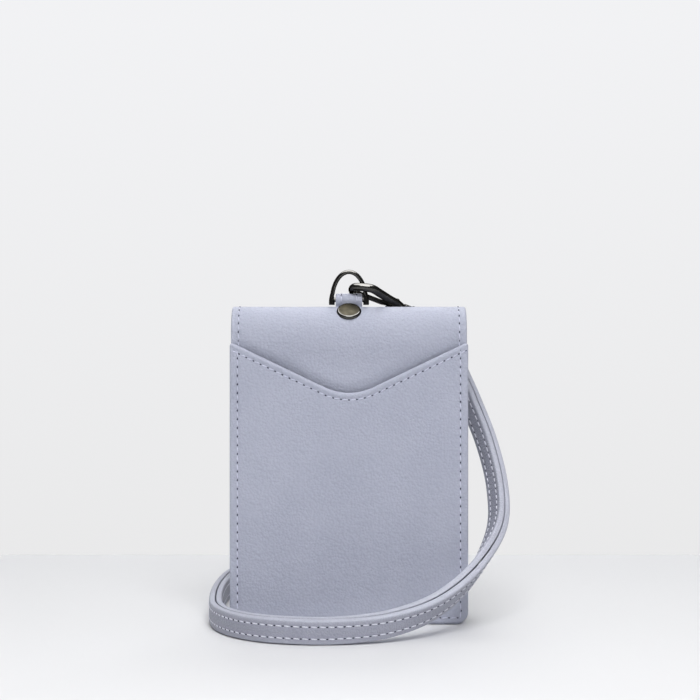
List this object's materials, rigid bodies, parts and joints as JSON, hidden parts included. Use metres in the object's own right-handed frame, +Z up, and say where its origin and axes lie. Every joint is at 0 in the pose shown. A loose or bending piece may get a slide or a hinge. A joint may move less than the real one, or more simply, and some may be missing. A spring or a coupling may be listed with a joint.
{
  "type": "id badge wallet",
  "caption": "Upright flip-open ID badge wallet in leather, with a scooped card pocket, badge window, ring tab, swivel clasp and doubled leather lanyard.",
  "frame": {"origin": "middle of the wallet's footprint on the floor, without the lanyard and its clasp", "axes": "+X to the right as seen from the scooped pocket, +Y from the scooped pocket to the badge window, +Z up to the fold"},
  "size_m": [0.1045, 0.1473, 0.1205],
  "materials": {
    "leather": "fine grain, semi matte",
    "seam": "raw edge",
    "board": "plain",
    "lining": "woven",
    "hardware": "dark polished plating",
    "steel": "satin",
    "clear_sheet": "clear"
  },
  "bodies": {
    "wallet": {"fold_cover": "leather", "spine_board": "board", "fold_lining": "lining", "ring_tab": "leather", "rivet_cap": "hardware", "rivet_post": "hardware", "back_cover": "leather", "back_board": "board", "back_magnet": "steel", "back_lining": "lining", "back_slot": "leather", "badge_seam": "seam", "badge_window": "clear_sheet", "badge_frame": "leather", "strap_inner": "leather", "strap_outer": "leather", "strap_neck_fold": "leather"},
    "pocket_leaf": {"pocket_panel": "leather", "pocket_seam": "seam", "front_cover": "leather", "front_board": "board", "front_magnet": "steel", "front_lining": "lining", "front_slot_tall": "leather", "front_slot_short": "leather"},
    "ring": {"d_ring": "hardware"},
    "lanyard_end": {"swivel_eye": "hardware", "strap_bight": "leather", "strap_rivet": "hardware", "strap_rivet_cap": "hardware"},
    "clasp": {"clasp_hook": "hardware", "gate_pin": "steel", "gate_spring": "steel", "swivel_stud": "steel"},
    "gate": {"clasp_gate": "hardware"}
  },
  "joints": [
    {"name": "leaf_fold", "type": "hinge", "parent": "wallet", "child": "pocket_leaf", "pos_m": [0, -0.0104, 0.0993], "axis": [-1, 0, 0], "range_deg": [0, 170], "deforming": ["strap_inner", "strap_outer"]},
    {"name": "ring_swing", "type": "hinge", "parent": "wallet", "child": "ring", "pos_m": [0, -0.00038, 0.11014], "axis": [1, 0, 0], "range_deg": [0, 35]},
    {"name": "lanyard_swing", "type": "hinge", "parent": "wallet", "child": "lanyard_end", "pos_m": [0, -0.00038, 0.11014], "axis": [1, 0, 0], "range_deg": [0, 35], "deforming": ["strap_inner", "strap_outer"]},
    {"name": "clasp_swivel", "type": "hinge", "parent": "lanyard_end", "child": "clasp", "pos_m": [0.0217, 0.0115, 0.1063], "axis": [0.7974, 0.5183, -0.309], "range_deg": [0, 15]},
    {"name": "gate_open", "type": "hinge", "parent": "clasp", "child": "gate", "pos_m": [0.01497, 0.01012, 0.10766], "axis": [0.1082, 0.381, 0.9182], "range_deg": [0, 9], "stiffness_Nm_per_rad": 0.004, "springref_deg": -11.46}
  ],
  "couplings": [
    {"joint": "lanyard_swing", "follows": "ring_swing", "ratio": 1}
  ]
}
